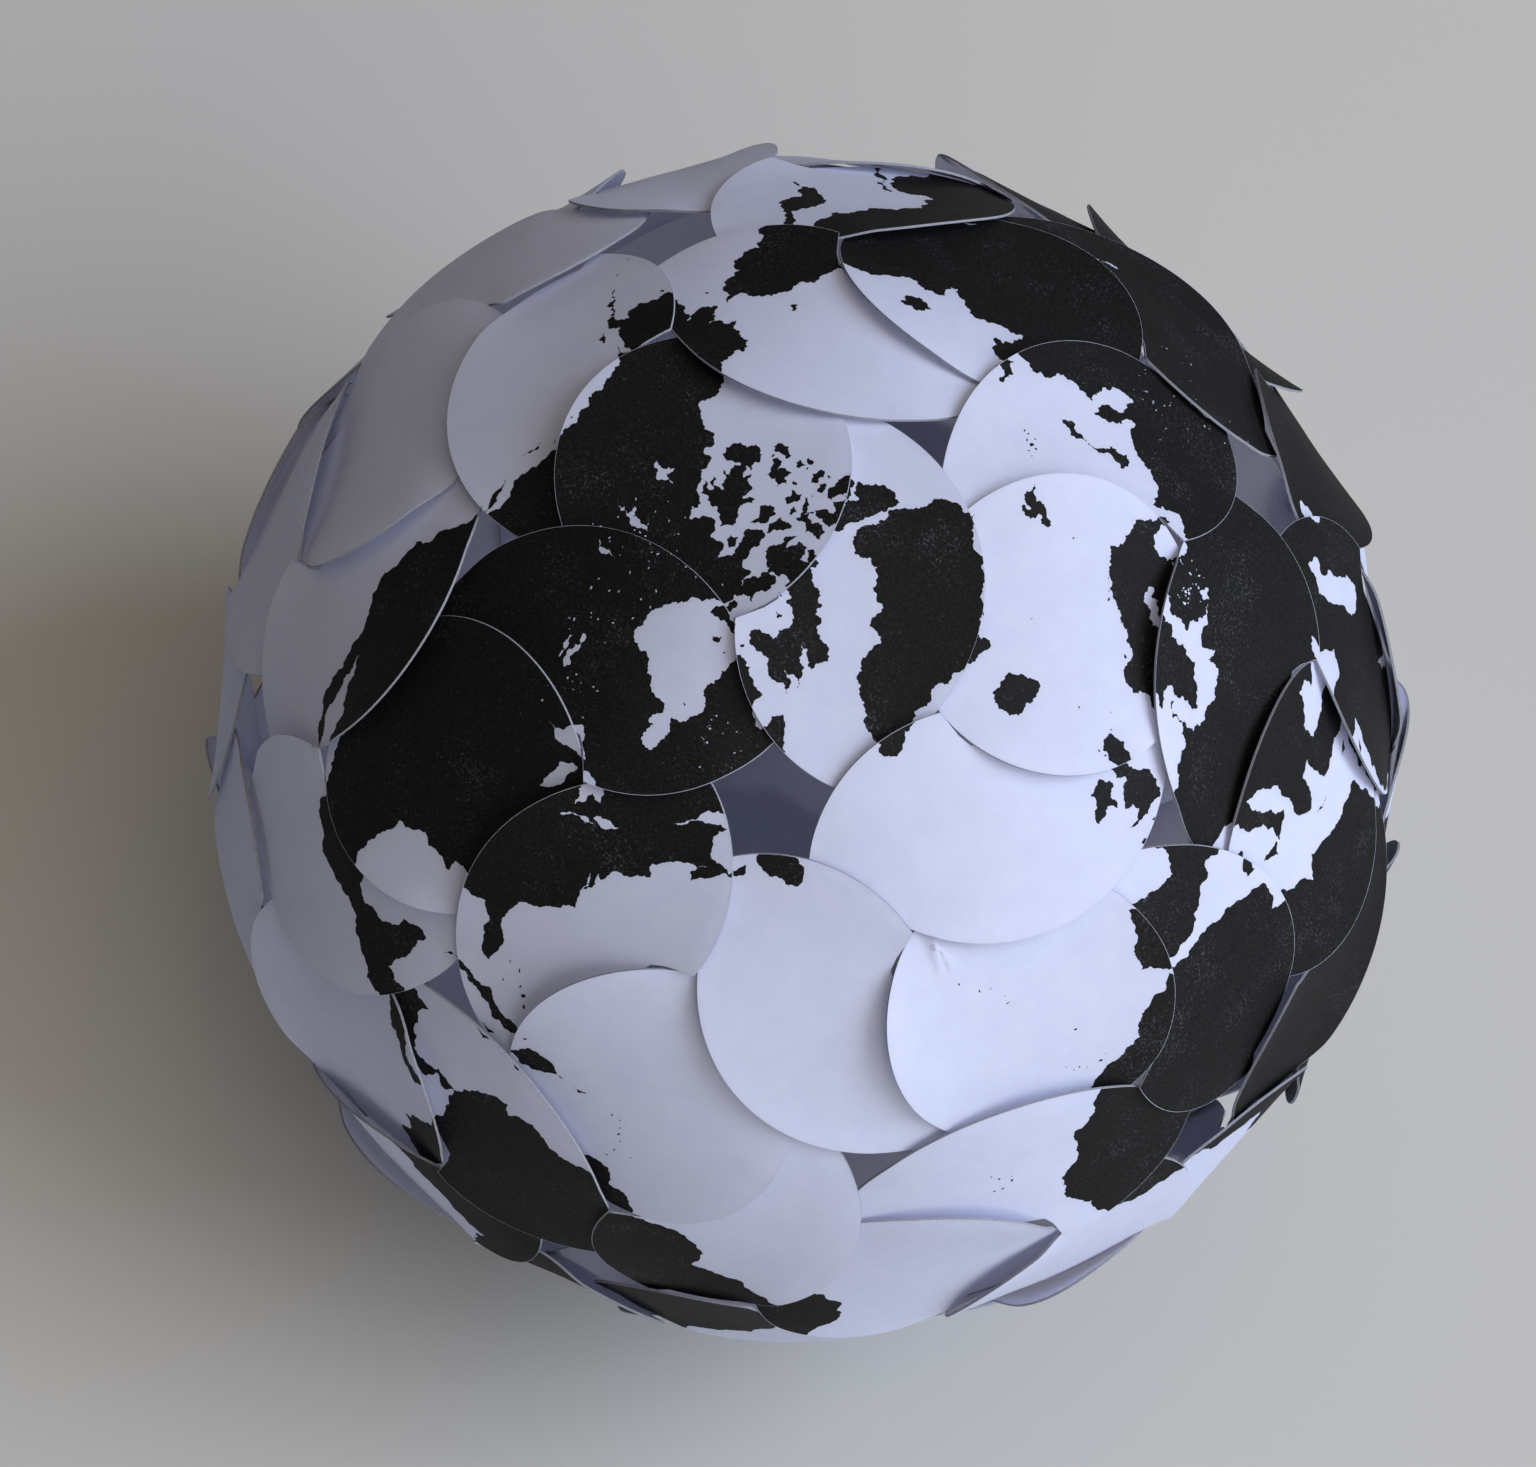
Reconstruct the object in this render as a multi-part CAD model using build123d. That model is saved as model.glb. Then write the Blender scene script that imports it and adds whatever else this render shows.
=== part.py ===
from build123d import *
import os
from math import atan, atan2, cos, degrees, radians, sin, sqrt

# A ball woven from thirty alike paper leaves. Each leaf is a round body with a lobe on each side.
# A leaf's body sits on the middle of an edge of an icosahedron. Its lobes reach over the bodies of the
# next leaves and hook into the leaves beside them. Five lobe tips leave a five-sided gap at each corner
# of the icosahedron, and three necks leave a three-sided gap at the middle of each of its sides.
# The ball's middle is the origin, and +Z goes through the three-sided gap at the top.

# Driving sizes, in millimetres
ball_radius = 49.0  # from the ball's middle to the middle of the paper, where a body lies lowest
paper = 0.2  # thickness of the sheet, a thin card
weave_clearance = 0.1  # room between two sheets where one passes over the other
overrun = 4.0  # how far a cutting shape reaches past the paper

# Paper bends one way at a time, so each stretch of a leaf is cut from a roll.
# Bend radii as shares of the ball's radius
body_bend_share = 0.82
lobe_bend_share = 0.89

# Angles in degrees. An angle on a leaf is seen from the ball's middle, and stands for a length on the leaf.
body_half_width_angle = 13.6
body_half_length_angle = 15.0
body_straight_angle = -38.0  # the direction in which the bent body stays straight, from the leaf's x axis
lobe_straight_angle = -73.0  # the same for a lobe, from the line along the lobe

# A lobe's outline, with x along the lobe from its tip to its neck, and y towards the leaf's own body
outer_arc_centre_angles = (0.2, 7.2)  # the long round edge, over the next leaf's body
outer_arc_angle = 18.4
tip_arc_centre_angles = (-0.4, -4.3)  # the tighter round edge at the tip, beside the five-sided gap
tip_arc_angle = 14.65
toe_low_angles = (-16.0, -6.0)  # the toe, a corner of the tip that lies under the next lobe
toe_high_angles = (-12.2, -2.0)
hook_angles = ((-5.0, 9.7), (-2.9, 7.55), (-1.7, 6.75))  # the hook, close along the edge of the leaf's own body
slit_end_angles = (16.7, 8.6)  # the slit runs under the body's edge, from the hook to the neck
neck_angles = ((17.3, 11.4), (20.8, 12.0), (19.8, 6.5), (16.0, 3.0))  # the neck that joins lobe and body
lobe_reach_angle = 21.0  # past every point of a lobe's outline

# The icosahedron, by angles at the ball's middle
half_edge_angle = degrees(atan(2)) / 2  # from a leaf's middle to a corner
edge_to_side_angle = degrees(atan((3 - sqrt(5)) / 2))  # from a leaf's middle to the middle of a side
near_polar_angle = degrees(atan(3 - sqrt(5)))  # from +Z to the nearest corners
far_polar_angle = degrees(atan(3 + sqrt(5)))  # and to the next
corner_rings = (  # angle from +Z, and the turn of the ring's first corner
    (near_polar_angle, 60.0),
    (far_polar_angle, 0.0),
    (180.0 - far_polar_angle, 60.0),
    (180.0 - near_polar_angle, 0.0),
)
ring_corner_count = 3
match_angle = 1.0  # how closely two corners have to be an edge apart

lobe_lift = paper + weave_clearance  # how much higher than a body a lobe starts


def on_ball(angle):
    """The flat distance that an angle at the ball's middle stands for."""
    return ball_radius * sin(radians(angle))


def spot(angles):
    return on_ball(angles[0]), on_ball(angles[1])


def disc(centre_angles, radius_angle):
    return Pos(*spot(centre_angles)) * Circle(on_ball(radius_angle))


def patch(*corner_angles):
    return make_face(Polyline(*[spot(angles) for angles in corner_angles], close=True))


def body_outline():
    return Ellipse(on_ball(body_half_width_angle), on_ball(body_half_length_angle))


def block(low_angles, high_angles):
    left, bottom = low_angles
    right, top = high_angles
    return patch((left, bottom), (right, bottom), (right, top), (left, top))


def lobe_outline():
    reach = lobe_reach_angle
    outer = disc(outer_arc_centre_angles, outer_arc_angle) + block(toe_low_angles, toe_high_angles)
    heel = block((tip_arc_centre_angles[0], -reach), (reach, reach))
    tip_and_heel = disc(tip_arc_centre_angles, tip_arc_angle) + heel
    below_slit = patch(
        (-reach, -reach),
        (-reach, hook_angles[0][1]),
        *hook_angles,
        slit_end_angles,
        (reach, slit_end_angles[1]),
        (reach, -reach),
    )
    neck = patch(slit_end_angles, *neck_angles)
    return (outer & tip_and_heel & below_slit) + neck


def bent_sheet(outline, straight_angle, bend_radius, lift):
    """Paper of an outline drawn on XY, bent to a roll that meets the ball's own curve on +Z."""
    top = ball_radius + lift
    straight = Vector(cos(radians(straight_angle)), sin(radians(straight_angle)), 0)
    roll_middle = Plane(origin=(0, 0, top - bend_radius), x_dir=(0, 0, 1), z_dir=straight)
    wall = Circle(bend_radius + paper / 2) - Circle(bend_radius - paper / 2)
    roll = extrude(roll_middle * wall, amount=ball_radius, both=True)
    cutter = extrude(Pos(0, 0, top - bend_radius) * outline, amount=bend_radius + overrun)
    return roll & cutter


def make_leaf():
    """One leaf, with its body's middle on +Z and its length along Y."""
    corner = radians(half_edge_angle)
    side = radians(edge_to_side_angle)
    five_sided_gap = Vector(0, -sin(corner), cos(corner))
    three_sided_gap = Vector(sin(side), 0, cos(side))
    along_lobe = three_sided_gap - five_sided_gap
    lobe_middle = Plane((0, 0, 0), x_dir=along_lobe, z_dir=three_sided_gap + five_sided_gap)
    body = bent_sheet(body_outline(), body_straight_angle, ball_radius * body_bend_share, 0)
    lobe = lobe_middle.location * bent_sheet(
        lobe_outline(), lobe_straight_angle, ball_radius * lobe_bend_share, lobe_lift
    )
    return body + lobe + Rot(0, 0, 180) * lobe


def corner_directions():
    directions = []
    for polar, first_turn in corner_rings:
        for step in range(ring_corner_count):
            turn = radians(first_turn + step * 360.0 / ring_corner_count)
            flat = sin(radians(polar))
            directions.append(Vector(flat * cos(turn), flat * sin(turn), cos(radians(polar))))
    return directions


def leaf_planes():
    """A plane for each edge of the icosahedron, from the top of the ball to the bottom."""
    corners = corner_directions()
    planes = []
    for i, first in enumerate(corners):
        for second in corners[i + 1 :]:
            if abs(first.get_angle(second) - 2 * half_edge_angle) < match_angle:
                along = second - first
                out = first + second
                planes.append(Plane((0, 0, 0), x_dir=along.cross(out), z_dir=out))
    return sorted(planes, key=height_then_turn)


def height_then_turn(plane):
    """Sorts from the top of the ball down, and at one height by the turn round +Z."""
    out = plane.z_dir
    return -round(out.Z, 3), round(atan2(out.Y, out.X), 3)


os.makedirs("parts", exist_ok=True)
leaf = make_leaf()
for number, plane in enumerate(leaf_planes(), start=1):
    placed = plane.location * leaf
    export_step(placed, f"parts/leaf_{number:02d}.step")
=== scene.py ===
import bmesh
import bpy
import math
import random
import numpy as np
from mathutils import Matrix, Vector
from mathutils.geometry import delaunay_2d_cdt


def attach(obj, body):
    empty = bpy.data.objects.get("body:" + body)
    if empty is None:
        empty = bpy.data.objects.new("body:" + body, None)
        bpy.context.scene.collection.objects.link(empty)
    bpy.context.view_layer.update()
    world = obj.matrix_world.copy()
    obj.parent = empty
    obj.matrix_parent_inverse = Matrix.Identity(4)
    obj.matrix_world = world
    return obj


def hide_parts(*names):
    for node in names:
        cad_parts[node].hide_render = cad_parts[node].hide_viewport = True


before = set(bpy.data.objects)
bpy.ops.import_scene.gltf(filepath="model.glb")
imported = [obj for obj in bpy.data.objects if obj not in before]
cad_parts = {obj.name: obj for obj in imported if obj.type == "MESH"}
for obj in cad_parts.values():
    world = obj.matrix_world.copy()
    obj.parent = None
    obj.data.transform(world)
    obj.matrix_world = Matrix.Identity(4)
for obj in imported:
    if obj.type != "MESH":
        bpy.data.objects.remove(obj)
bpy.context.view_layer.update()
print("frame loaded,", len(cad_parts), "leaves")

mm = 0.001  # every length below is in millimetres until it goes into a mesh


def linear(hexCode):
    shares = [int(hexCode[i:i + 2], 16) / 255 for i in (0, 2, 4)]
    return tuple(s / 12.92 if s <= 0.04045 else ((s + 0.055) / 1.055) ** 2.4 for s in shares) + (1.0,)


def addNode(tree, kind, settings=None, links=None):
    node = tree.nodes.new(kind)
    for name, value in (settings or {}).items():
        if isinstance(name, str) and hasattr(node, name):
            setattr(node, name, value)
        else:
            node.inputs[name].default_value = value
    for name, socket in (links or {}).items():
        tree.links.new(socket, node.inputs[name])
    return node


def newMaterial(name):
    material = bpy.data.materials.new(name)
    material.use_nodes = True
    material.node_tree.nodes.clear()
    return material, material.node_tree


# uncoated card: pressed wood pulp with a brightener, so it is matt, faintly blue and faintly cloudy
cardFinish = {
    "colour": "d7dffc", "cloudColour": "cfd7f6",
    "fibreWidth": 0.16, "cloudSize": 2.2, "fibreHeight": 0.012,
    "roughness": 0.86, "ior": 1.5,
    # the share of light that soaks through each face of the thin sheet, and its colour
    "through": 0.35, "throughColour": "fbf6f1",
}
# fused toner: black dust melted on the fibres, half matt, thin on the high fibres, with pinholes
tonerFinish = {
    "colour": "08080a", "thinColour": "1b1b1d", "fibreColour": "3d3f47",
    "grain": 0.2, "pinhole": 0.24, "pinholeLevel": 0.58, "pinholeFade": 0.1, "wornPatch": 5.0,
    "roughness": 0.7, "ior": 1.4, "sheen": 0.24, "fibreHeight": 0.02,
}
# cut card edge: torn fibre ends of the sheet's core, rougher than its face; its grey is painted shade,
# darker than the card's own white so that cut edges facing the light stay dim
edgeFinishWithShade = {"colour": "9396a4", "shadeColour": "7b7e8c", "fibreWidth": 0.12, "roughness": 0.95}


def makeCard():
    material, tree = newMaterial("uncoatedCard")
    place = addNode(tree, "ShaderNodeTexCoord").outputs["Object"]
    fibre = addNode(tree, "ShaderNodeTexNoise", {
        "Scale": 1 / (cardFinish["fibreWidth"] * mm), "Detail": 3.0, "Roughness": 0.6}, {"Vector": place})
    cloud = addNode(tree, "ShaderNodeTexNoise", {
        "Scale": 1 / (cardFinish["cloudSize"] * mm), "Detail": 4.0, "Roughness": 0.65}, {"Vector": place})
    both = addNode(tree, "ShaderNodeMix", {"data_type": "FLOAT", 0: 0.5},
                   {2: fibre.outputs["Fac"], 3: cloud.outputs["Fac"]})
    tone = addNode(tree, "ShaderNodeValToRGB", {}, {"Fac": both.outputs[0]})
    tone.color_ramp.elements[0].position = 0.36
    tone.color_ramp.elements[0].color = linear(cardFinish["cloudColour"])
    tone.color_ramp.elements[1].position = 0.58
    tone.color_ramp.elements[1].color = linear(cardFinish["colour"])
    bump = addNode(tree, "ShaderNodeBump", {"Strength": 0.5, "Distance": cardFinish["fibreHeight"] * mm},
                   {"Height": fibre.outputs["Fac"]})
    shader = addNode(tree, "ShaderNodeBsdfPrincipled", {
        "Roughness": cardFinish["roughness"], "IOR": cardFinish["ior"]},
        {"Base Color": tone.outputs["Color"], "Normal": bump.outputs["Normal"]})
    through = addNode(tree, "ShaderNodeBsdfTranslucent", {"Color": linear(cardFinish["throughColour"])})
    sheet = addNode(tree, "ShaderNodeMixShader", {0: cardFinish["through"]},
                    {1: shader.outputs["BSDF"], 2: through.outputs["BSDF"]})
    addNode(tree, "ShaderNodeOutputMaterial", {}, {"Surface": sheet.outputs["Shader"]})
    return material


def makeToner():
    material, tree = newMaterial("fusedToner")
    place = addNode(tree, "ShaderNodeTexCoord").outputs["Object"]
    grain = addNode(tree, "ShaderNodeTexNoise", {
        "Scale": 1 / (tonerFinish["grain"] * mm), "Detail": 3.0, "Roughness": 0.65}, {"Vector": place})
    black = addNode(tree, "ShaderNodeValToRGB", {}, {"Fac": grain.outputs["Fac"]})
    black.color_ramp.elements[0].position = 0.42
    black.color_ramp.elements[0].color = linear(tonerFinish["colour"])
    black.color_ramp.elements[1].position = 0.72
    black.color_ramp.elements[1].color = linear(tonerFinish["thinColour"])
    holes = addNode(tree, "ShaderNodeTexNoise", {
        "Scale": 1 / (tonerFinish["pinhole"] * mm), "Detail": 2.0, "Roughness": 0.7}, {"Vector": place})
    patches = addNode(tree, "ShaderNodeTexNoise", {
        "Scale": 1 / (tonerFinish["wornPatch"] * mm), "Detail": 3.0, "Roughness": 0.6}, {"Vector": place})
    wear = addNode(tree, "ShaderNodeMix", {"data_type": "FLOAT", 0: 0.35},
                   {2: holes.outputs["Fac"], 3: patches.outputs["Fac"]})
    wornFrom = tonerFinish["pinholeLevel"]
    wornTo = wornFrom + tonerFinish["pinholeFade"]
    worn = addNode(tree, "ShaderNodeMapRange", {"From Min": wornFrom, "From Max": wornTo},
                   {"Value": wear.outputs[0]})
    printed = addNode(tree, "ShaderNodeMix", {"data_type": "RGBA", 7: linear(tonerFinish["fibreColour"])},
                      {0: worn.outputs["Result"], 6: black.outputs["Color"]})
    bump = addNode(tree, "ShaderNodeBump", {"Strength": 0.5, "Distance": tonerFinish["fibreHeight"] * mm},
                   {"Height": grain.outputs["Fac"]})
    shader = addNode(tree, "ShaderNodeBsdfPrincipled", {
        "Roughness": tonerFinish["roughness"], "IOR": tonerFinish["ior"],
        "Specular IOR Level": tonerFinish["sheen"]},
        {"Base Color": printed.outputs[2], "Normal": bump.outputs["Normal"]})
    addNode(tree, "ShaderNodeOutputMaterial", {}, {"Surface": shader.outputs["BSDF"]})
    return material


def makeEdge():
    material, tree = newMaterial("cutCardEdgePaintedShade")
    place = addNode(tree, "ShaderNodeTexCoord").outputs["Object"]
    fibre = addNode(tree, "ShaderNodeTexNoise", {
        "Scale": 1 / (edgeFinishWithShade["fibreWidth"] * mm), "Detail": 2.0}, {"Vector": place})
    tone = addNode(tree, "ShaderNodeValToRGB", {}, {"Fac": fibre.outputs["Fac"]})
    # both ramp tones are painted shade over the card's white; the noise between them is the fibre
    tone.color_ramp.elements[0].position = 0.35
    tone.color_ramp.elements[0].color = linear(edgeFinishWithShade["shadeColour"])
    tone.color_ramp.elements[1].position = 0.6
    tone.color_ramp.elements[1].color = linear(edgeFinishWithShade["colour"])
    shader = addNode(tree, "ShaderNodeBsdfPrincipled", {"Roughness": edgeFinishWithShade["roughness"]},
                     {"Base Color": tone.outputs["Color"]})
    addNode(tree, "ShaderNodeOutputMaterial", {}, {"Surface": shader.outputs["BSDF"]})
    return material


leafMaterials = [makeCard(), makeToner(), makeEdge()]
cardFace, tonerFace, edgeFace = 0, 1, 2
print("card, toner and cut edge made")

# the lands of the globe as simple outlines, east longitude and north latitude in degrees
lands = {
    "northAmerica": [
        (-168, 65.6), (-162, 66.5), (-166.5, 68.3), (-163, 69.5), (-156.5, 71.3), (-148, 70.4),
        (-141, 69.6), (-135, 69.2), (-131, 70), (-128, 70.5), (-125, 69.5), (-121, 69.8), (-117, 69),
        (-114.5, 68.2), (-110, 67.9), (-108, 66.8), (-107.5, 68), (-105.5, 68.7), (-102, 67.8),
        (-98.5, 68.4), (-96, 67.3), (-94.5, 68.5), (-96.5, 70), (-95.2, 71.9), (-92.7, 71), (-91.7, 69.5),
        (-90.5, 68.5), (-88, 68.8), (-87, 67.3), (-85.5, 68.8), (-85, 69.7), (-82, 69.8), (-81.3, 68.7),
        (-82.5, 66.9), (-86.5, 66.4), (-87.5, 65), (-90.5, 63.8), (-92.5, 62.5), (-94.2, 61),
        (-94.7, 59.5), (-94.2, 58.7), (-92.7, 57), (-88, 56.5), (-85, 55.3), (-82.3, 55.2), (-82.2, 53.3),
        (-81.4, 52.1), (-80.5, 51.3), (-79, 51.3), (-78.8, 52.5), (-79, 54), (-79.7, 54.7), (-77.5, 55.4),
        (-76.6, 56.5), (-77.2, 57.8), (-78.5, 58.9), (-77.5, 60), (-77.8, 62.5), (-74, 62.3),
        (-71.6, 61.2), (-69.6, 61), (-69.5, 59.3), (-67.8, 58.3), (-66, 58.8), (-64.7, 60.3),
        (-62.3, 58.2), (-61.5, 56.6), (-59.5, 55.2), (-57.3, 54.5), (-55.8, 52.6), (-57, 51.4),
        (-60, 50.2), (-66.5, 50.2), (-68.5, 49), (-70.8, 47.2), (-68.3, 48.6), (-64.3, 49.1), (-65.5, 48),
        (-65, 47.2), (-64.2, 46.2), (-61.5, 45.7), (-60.3, 46.9), (-60, 45.9), (-63.5, 44.6),
        (-65.5, 43.5), (-66.1, 44.3), (-64.4, 45.4), (-67, 44.8), (-69, 44), (-70.7, 43), (-70, 41.8),
        (-71.5, 41.4), (-72, 40.9), (-74, 40.5), (-74.9, 39), (-75.5, 39.4), (-75.2, 38), (-76.2, 37),
        (-76.3, 39), (-76, 36.7), (-75.6, 35.3), (-77.8, 34), (-79.3, 33.1), (-81.1, 31.9), (-81.4, 30.2),
        (-80.5, 28.4), (-80.1, 26.8), (-80.4, 25.3), (-81.2, 25.3), (-82, 26.7), (-82.8, 27.9),
        (-82.8, 29.1), (-84, 30.1), (-85.3, 29.7), (-87.5, 30.3), (-89.4, 30.2), (-89.2, 29.1),
        (-91.3, 29.3), (-94, 29.6), (-97, 28), (-97.5, 25.5), (-97.8, 22.5), (-96.2, 19.2), (-94.5, 18.2),
        (-92, 18.6), (-90.5, 19.8), (-90.3, 21), (-87.1, 21.5), (-87.6, 19.3), (-88.4, 17.2),
        (-88.6, 15.8), (-86, 15.8), (-83.2, 15), (-83.7, 11.5), (-82, 9), (-79.6, 9.5), (-77.4, 8.6),
        (-78.2, 7.6), (-79.5, 8.9), (-80.4, 7.4), (-83, 8.3), (-85.7, 10), (-87.6, 13), (-91.5, 14),
        (-94.6, 16.2), (-99.8, 16.8), (-104, 19), (-105.5, 20.4), (-105.4, 22), (-109, 25.7),
        (-112.8, 30), (-114.8, 31.7), (-112.8, 28.3), (-110.8, 24.8), (-109.6, 23), (-112.1, 24.8),
        (-114.9, 27.9), (-117.1, 32.5), (-120.6, 34.5), (-122.4, 37.3), (-124.2, 40.4), (-124, 44),
        (-124.7, 48.3), (-122.5, 47.6), (-123.5, 49.2), (-127.5, 51.5), (-130.3, 54.8), (-133.5, 57.5),
        (-137.5, 59), (-141, 60), (-146, 60.7), (-149.5, 59.8), (-151.8, 59.3), (-150.5, 61.2),
        (-153.5, 59.3), (-156.5, 57), (-161, 55.4), (-164.8, 54.6), (-160.3, 56.1), (-157.7, 57.8),
        (-158.5, 58.8), (-162, 58.7), (-164.8, 60.5), (-166, 61.7), (-164.5, 63.1), (-161, 64.4),
        (-166.3, 64.5)],
    "greenland": [
        (-73, 78.2), (-67, 80), (-62, 81.7), (-50, 82.5), (-35, 83.5), (-25, 83), (-20, 82), (-12, 81.5),
        (-19, 80), (-18.5, 77), (-20, 75), (-22, 72.5), (-26, 71), (-22, 70.2), (-27, 68.5), (-33, 67.5),
        (-38, 65.6), (-41, 64), (-42.5, 61.5), (-43.8, 59.9), (-48, 61), (-51, 63.5), (-53.5, 66.5),
        (-51, 69.3), (-54.5, 70.5), (-56, 73.5), (-59, 75.8), (-66, 76), (-70, 76.5)],
    "baffin": [
        (-89.9, 71.3), (-89.2, 73.1), (-86.6, 73.8), (-85.9, 72.4), (-84.9, 73.6), (-81.3, 73.6),
        (-80.7, 72.4), (-77.9, 72.7), (-75, 72), (-71.2, 71.4), (-68.5, 70.4), (-68.9, 69.4),
        (-66.8, 69.2), (-67, 68.4), (-64.2, 67.6), (-61.4, 66.7), (-62.2, 65.9), (-63.7, 64.9),
        (-66, 65.9), (-68, 66.4), (-66.4, 65), (-64.8, 64.2), (-64.6, 62.9), (-68.4, 63.8), (-65.8, 62),
        (-69.5, 62.5), (-72.9, 63.9), (-78.2, 64.5), (-77.3, 65.5), (-73.7, 65.5), (-73.9, 66.4),
        (-72.4, 67.3), (-73.3, 68.3), (-76.5, 68.8), (-76.3, 69.5), (-79.3, 69.7), (-78.9, 70.4),
        (-82.9, 70), (-86.5, 70.1), (-88.6, 70.6)],
    "ellesmere": [
        (-90, 76.5), (-85.5, 76.4), (-80.8, 76.2), (-78.2, 77), (-75.5, 78.6), (-74, 79.4), (-69.8, 80.5),
        (-64.5, 81.6), (-61.5, 82.4), (-69, 83.1), (-79, 83), (-86, 82.2), (-91.3, 81.6), (-88, 80.6),
        (-82.5, 80.4), (-86.4, 79.7), (-84.8, 79), (-87.9, 78.2), (-83.5, 77.4), (-88, 77.1)],
    "axelHeiberg": [
        (-95.5, 80.6), (-92.5, 81.3), (-87.4, 80.3), (-87, 79.2), (-88.8, 78.2), (-92.8, 78.4),
        (-93.5, 79.3)],
    "devon": [
        (-96.5, 76.8), (-93, 76.5), (-91.3, 75.6), (-89.5, 76.4), (-89.3, 75.6), (-81, 75.7), (-79.6, 74.9),
        (-86, 74.5), (-92, 74.8), (-92.2, 75.7)],
    "cornwallis": [(-96.5, 75.3), (-93.6, 75.2), (-93.8, 74.7), (-95.8, 74.9)],
    "bathurst": [(-102.5, 76.1), (-98.5, 76.6), (-97.7, 75.7), (-98.2, 75), (-100.7, 75.1), (-100.4, 75.7)],
    "melville": [
        (-117.5, 75.5), (-115.5, 76.4), (-112.5, 75.6), (-109, 76.7), (-108.2, 75.9), (-105.7, 75.9),
        (-106, 75), (-112, 74.5), (-114.5, 75.2)],
    "princePatrick": [(-123.5, 76.1), (-117, 77.3), (-116.2, 76.6), (-120, 75.9)],
    "mackenzieKing": [(-114, 77.8), (-110.5, 78.2), (-110, 77.5), (-113, 77.4)],
    "borden": [(-113.5, 78.6), (-109.6, 78.7), (-111, 78.3)],
    "ellefRingnes": [(-105, 79.2), (-99.7, 78.2), (-101, 77.8), (-105, 78.3)],
    "amundRingnes": [(-97.5, 78.8), (-95, 78.5), (-94.8, 77.9), (-97, 77.9)],
    "victoria": [
        (-117.3, 73), (-113.6, 72.6), (-114.3, 73.3), (-110.6, 72.9), (-108, 73.3), (-107.5, 71.8),
        (-105.4, 72.8), (-104.4, 71), (-101.2, 69.9), (-102.8, 68.9), (-106, 69.4), (-113.2, 68.5),
        (-116.5, 69.2), (-113.2, 69.7), (-117.4, 70), (-111.8, 70.6), (-118.2, 71), (-114.8, 71.5),
        (-118.5, 72)],
    "banks": [
        (-124.7, 74.3), (-121.3, 74.5), (-117.5, 74.1), (-115.4, 73.3), (-119.2, 72.5), (-120.5, 71.7),
        (-123.2, 71.2), (-125.8, 72.1), (-123.9, 73.4)],
    "princeOfWales": [
        (-102.3, 72.8), (-100, 73.9), (-97.3, 73.7), (-97, 72.9), (-98.4, 71.7), (-99.4, 71.3),
        (-100.3, 72.5)],
    "somerset": [(-95.5, 73.9), (-92.4, 74.1), (-90.2, 73.8), (-92.3, 72.9), (-93.9, 72), (-95.6, 72.6)],
    "southampton": [
        (-87, 63.7), (-83.6, 64.1), (-80.4, 63.8), (-81.8, 64.5), (-84.4, 65.5), (-85.2, 66), (-86.1, 65),
        (-87.2, 64.3)],
    "coats": [(-83.6, 62.4), (-82, 62.9), (-82.5, 62.2)],
    "princeCharles": [(-77, 67.7), (-75.2, 67.9), (-75.6, 67.2)],
    "kingWilliam": [(-99.4, 69.4), (-97.4, 69.8), (-95.5, 69.2), (-96.5, 68.6), (-98.5, 68.8)],
    "bylot": [(-80.9, 73.4), (-79.5, 73.8), (-76.6, 73.5), (-76.4, 72.9), (-79, 72.8)],
    "newfoundland": [
        (-59.3, 47.8), (-57.3, 50.7), (-55.6, 51.5), (-55.5, 49.9), (-53, 48.6), (-53.2, 46.7), (-56, 47)],
    "vancouver": [(-128, 50.6), (-124, 49), (-123.5, 48.4), (-126, 49.2)],
    "haida": [(-133, 54), (-131.8, 53.9), (-131.3, 52.2)],
    "kodiak": [(-154.5, 57.2), (-152.3, 57.9), (-153, 57)],
    "cuba": [
        (-84.9, 21.9), (-82.5, 23), (-79, 22.7), (-75.5, 21), (-74.2, 20.2), (-77.5, 19.9), (-78.3, 21),
        (-82, 22.3)],
    "hispaniola": [(-74.3, 18.5), (-72.8, 19.9), (-69.8, 19.7), (-68.4, 18.6), (-71.2, 17.8)],
    "jamaica": [(-78.3, 18.4), (-76.3, 18.2), (-77, 17.8)],
    "puertoRico": [(-67.2, 18.4), (-65.7, 18.3), (-66.5, 17.9)],
    "southAmerica": [
        (-77.4, 8.6), (-75.5, 10.5), (-72, 12.2), (-71.5, 10.8), (-68.3, 11.6), (-64.5, 10.3),
        (-61.8, 10.7), (-60.5, 8.5), (-57, 6), (-52, 4.8), (-50, 1), (-50.5, -0.5), (-48, -1),
        (-44, -2.6), (-40, -2.9), (-35.3, -5.2), (-34.8, -8), (-37, -11), (-39, -13.5), (-39.2, -17.8),
        (-41, -22), (-44, -23), (-48.5, -26), (-48.7, -28.5), (-52.3, -33), (-56, -34.9), (-58.3, -34.3),
        (-57, -36.5), (-62, -39), (-65, -41), (-63.7, -42.5), (-67.5, -46), (-65.8, -47.8), (-69, -51),
        (-68.3, -52.5), (-65.2, -54.7), (-68, -55.5), (-73, -53.2), (-75.5, -48.5), (-73.7, -42),
        (-73.3, -37.2), (-71.5, -32.5), (-70.3, -25), (-70.2, -18.5), (-76.2, -14), (-79.5, -8),
        (-81.3, -5), (-80, -3), (-81, -1), (-80, 0.8), (-78.8, 1.8), (-77.3, 4), (-77.6, 7)],
    "africa": [
        (-5.9, 35.8), (-2, 35.2), (3, 36.8), (10, 37.3), (10.2, 34), (15, 32.3), (19, 30.3), (20, 32.8),
        (25, 31.6), (30, 31.4), (32.3, 31.3), (32.6, 29.9), (35.5, 24), (37.2, 20.8), (39.5, 15.5),
        (43.2, 12.2), (43.2, 11.5), (51.2, 11.9), (48, 4.5), (42, -1), (39, -6), (40.5, -11), (40.5, -15),
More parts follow.
